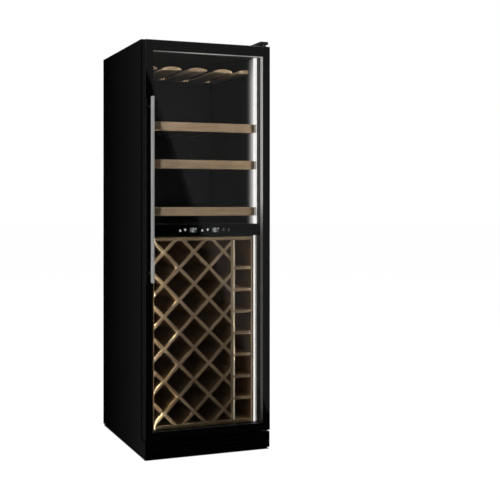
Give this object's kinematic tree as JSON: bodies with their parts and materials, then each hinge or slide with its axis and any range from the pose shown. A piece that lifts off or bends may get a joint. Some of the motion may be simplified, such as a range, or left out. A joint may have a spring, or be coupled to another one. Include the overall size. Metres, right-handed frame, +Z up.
{
  "type": "wine cooler",
  "caption": "Tall black free-standing wine cooler with a glass door, stemware rack, sliding shelves, touch panel between two zones and a wooden diamond bottle rack below.",
  "frame": {"origin": "on the floor, in the middle of the width, and in the middle of the depth from the front of the handle to the back sheet", "axes": "+X to the right seen from the front, where the door's hinges are; +Y to the back; +Z up"},
  "size_m": [0.595, 0.743, 1.8503],
  "materials": {
    "black_paint": "satin",
    "door_frame": "satin",
    "foam": "matte",
    "divider_core": "matte",
    "liner": "matte",
    "zinc": "satin",
    "condenser": "satin",
    "compressor": "satin",
    "rubber": "matte",
    "dark_plastic": "matte",
    "control_glass": "gloss",
    "light_lens": "satin",
    "door_glass": "gloss",
    "satin_metal": "satin",
    "wood": "satin",
    "wire": "satin"
  },
  "bodies": {
    "cabinet": {"outer_case": "black_paint", "rear_panel": "black_paint", "insulation": "foam", "inner_liner": "liner", "base_pan": "zinc", "kick_plate": "black_paint", "front_foot_left": "rubber", "front_foot_right": "rubber", "compressor": "compressor", "drip_tray": "dark_plastic", "mains_inlet": "dark_plastic", "condenser": "condenser", "lower_duct_cover": "liner", "upper_duct_cover": "liner", "zone_divider": "divider_core", "control_panel": "control_glass", "upper_left_light": "light_lens", "upper_right_light": "light_lens", "lower_left_light": "light_lens", "lower_right_light": "light_lens", "top_hinge": "zinc", "hinge_cover": "dark_plastic", "bottom_hinge": "zinc", "stemware_rack": "wood", "rack_top_board": "wood", "rack_bottom_board": "wood", "rack_left_board": "wood", "rack_right_board": "wood", "bottle_column": "wood", "lattice_rising_1": "wood", "lattice_rising_2": "wood", "lattice_rising_3": "wood", "lattice_rising_4": "wood", "lattice_rising_5": "wood", "lattice_rising_6": "wood", "lattice_rising_7": "wood", "lattice_rising_8": "wood", "lattice_falling_1": "wood", "lattice_falling_2": "wood", "lattice_falling_3": "wood", "lattice_falling_4": "wood", "lattice_falling_5": "wood", "lattice_falling_6": "wood", "lattice_falling_7": "wood", "lattice_falling_8": "wood"},
    "door": {"door_frame": "door_frame", "outer_glass": "door_glass", "glass_spacer": "satin_metal", "inner_glass": "door_glass", "door_gasket": "rubber", "handle": "satin_metal"},
    "shelf_1": {"shelf_front_1": "wood", "shelf_rack_1": "wire"},
    "shelf_2": {"shelf_front_2": "wood", "shelf_rack_2": "wire"},
    "shelf_3": {"shelf_front_3": "wood", "shelf_rack_3": "wire"},
    "upper_fan": {"upper_fan": "dark_plastic"},
    "lower_fan": {"lower_fan": "dark_plastic"},
    "condenser_fan": {"condenser_fan": "dark_plastic"}
  },
  "joints": [
    {"name": "door_hinge", "type": "hinge", "parent": "cabinet", "child": "door", "pos_m": [0.2845, -0.2885, 0.9], "axis": [0, 0, 1], "range_deg": [0, 115]},
    {"name": "shelf_1_slide", "type": "slide", "parent": "cabinet", "child": "shelf_1", "axis": [0, -1, 0], "range_m": [0, 0.03]},
    {"name": "shelf_2_slide", "type": "slide", "parent": "cabinet", "child": "shelf_2", "axis": [0, -1, 0], "range_m": [0, 0.03]},
    {"name": "shelf_3_slide", "type": "slide", "parent": "cabinet", "child": "shelf_3", "axis": [0, -1, 0], "range_m": [0, 0.03]},
    {"name": "upper_fan_spin", "type": "hinge", "parent": "cabinet", "child": "upper_fan", "pos_m": [0, 0.291, 1.405], "axis": [0, 1, 0], "continuous": true},
    {"name": "lower_fan_spin", "type": "hinge", "parent": "cabinet", "child": "lower_fan", "pos_m": [0, 0.291, 0.655], "axis": [0, 1, 0], "continuous": true},
    {"name": "condenser_fan_spin", "type": "hinge", "parent": "cabinet", "child": "condenser_fan", "pos_m": [0.0218, 0.264, 0.15475], "axis": [1, 0, 0], "continuous": true}
  ]
}
